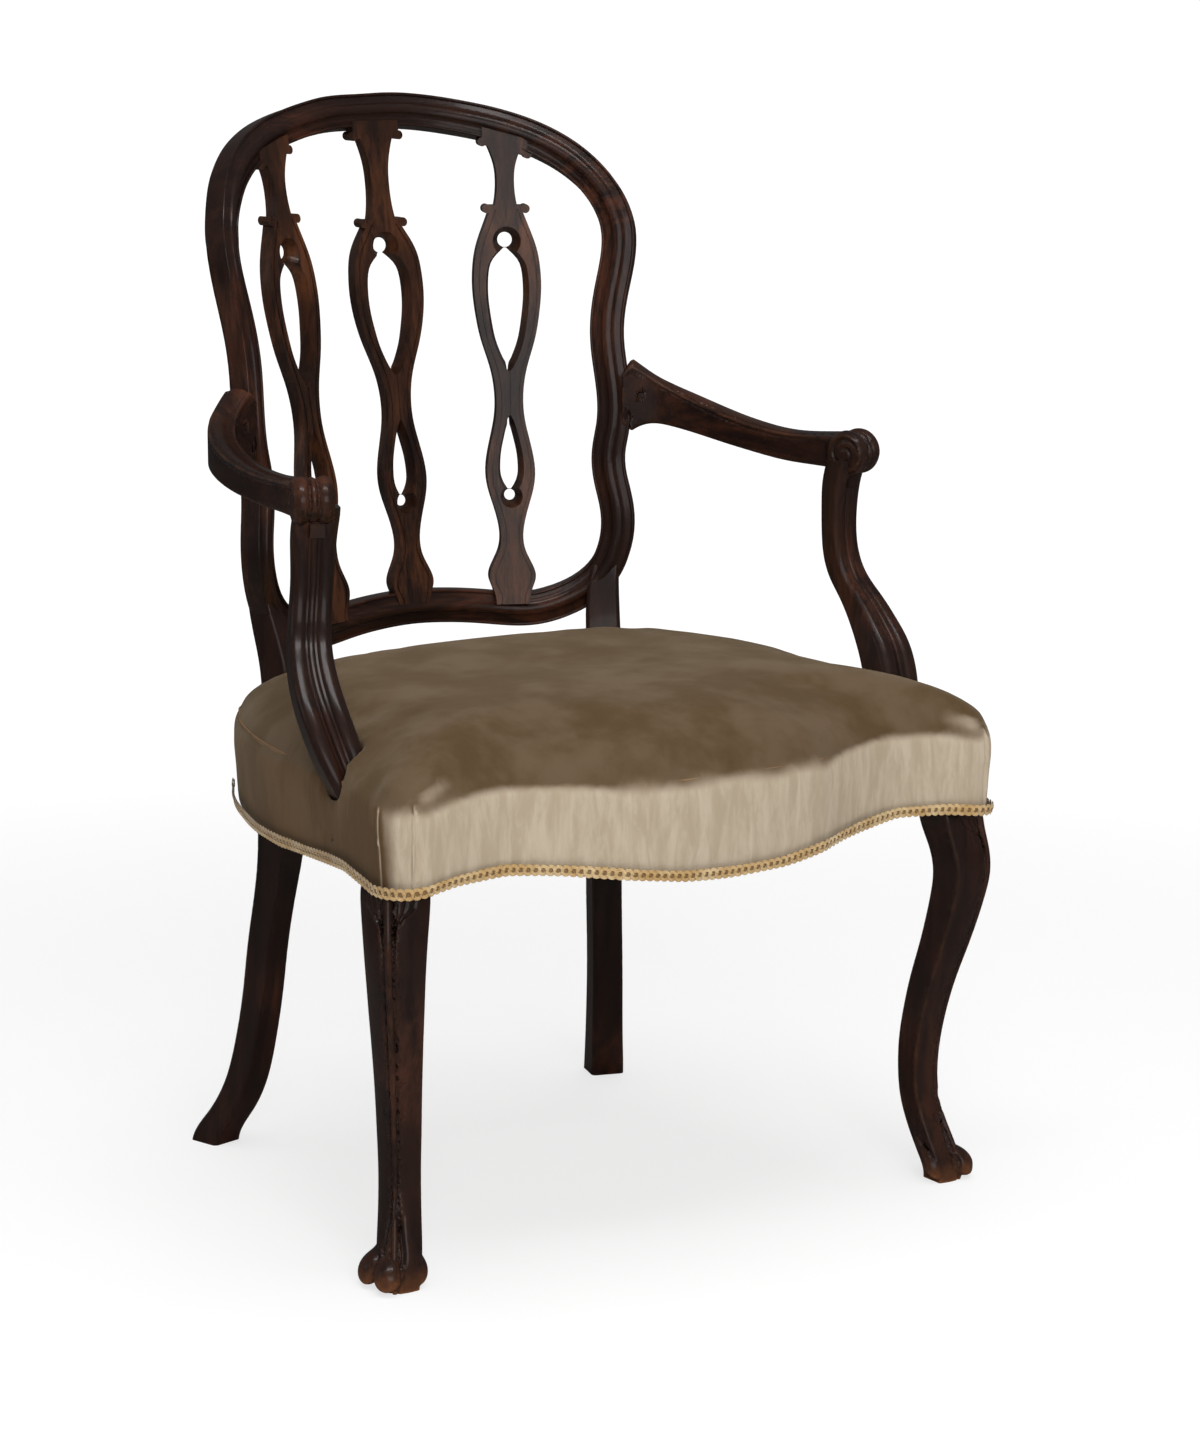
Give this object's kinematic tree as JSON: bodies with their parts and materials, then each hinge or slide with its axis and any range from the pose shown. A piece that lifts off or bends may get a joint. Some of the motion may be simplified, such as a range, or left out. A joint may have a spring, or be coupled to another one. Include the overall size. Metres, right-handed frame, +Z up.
{
  "type": "open armchair",
  "caption": "Hoop-backed open armchair with pierced splats, outswept scrolled arms, a serpentine stuffed-over seat edged with braid, and shaped legs with carved front toes.",
  "frame": {"origin": "on the floor, under the middle of the chair's bounding box", "axes": "+Z up, the front faces -Y, +X is the right side seen from the front"},
  "size_m": [0.6298, 0.632, 0.9651],
  "materials": {
    "mahogany": "dark polished mahogany, waxed",
    "beech": "bare beech, aged",
    "webbing": "woven jute webbing",
    "hessian": "coarse hessian",
    "stuffing": "hair stuffing",
    "velvet": "taupe velvet, worn pale on the front",
    "gimp": "golden beige gimp braid",
    "screw_steel": "dull steel",
    "tack_steel": "blued steel"
  },
  "bodies": {
    "root": {"crest_rail": "mahogany", "lower_back_rail": "mahogany", "rear_leg_left": "mahogany", "rear_leg_right": "mahogany", "splat_centre": "mahogany", "splat_left": "mahogany", "splat_right": "mahogany", "arm_left": "mahogany", "arm_right": "mahogany", "arm_support_left": "mahogany", "arm_support_right": "mahogany", "arm_plug_left": "mahogany", "arm_plug_right": "mahogany", "front_leg_left": "mahogany", "front_leg_right": "mahogany", "front_rail": "beech", "back_rail": "beech", "side_rail_left": "beech", "side_rail_right": "beech", "front_corner_block_left": "beech", "front_corner_block_right": "beech", "rear_corner_block_left": "beech", "rear_corner_block_right": "beech", "web_front_to_back_1": "webbing", "web_front_to_back_2": "webbing", "web_front_to_back_3": "webbing", "web_front_to_back_4": "webbing", "web_side_to_side_1": "webbing", "web_side_to_side_2": "webbing", "web_side_to_side_3": "webbing", "web_side_to_side_4": "webbing", "hessian": "hessian", "stuffing": "stuffing", "seat_cover": "velvet", "gimp_front": "gimp", "gimp_side_left": "gimp", "gimp_side_right": "gimp", "gimp_back": "gimp", "screws": "screw_steel", "tacks": "tack_steel"}
  },
  "joints": []
}
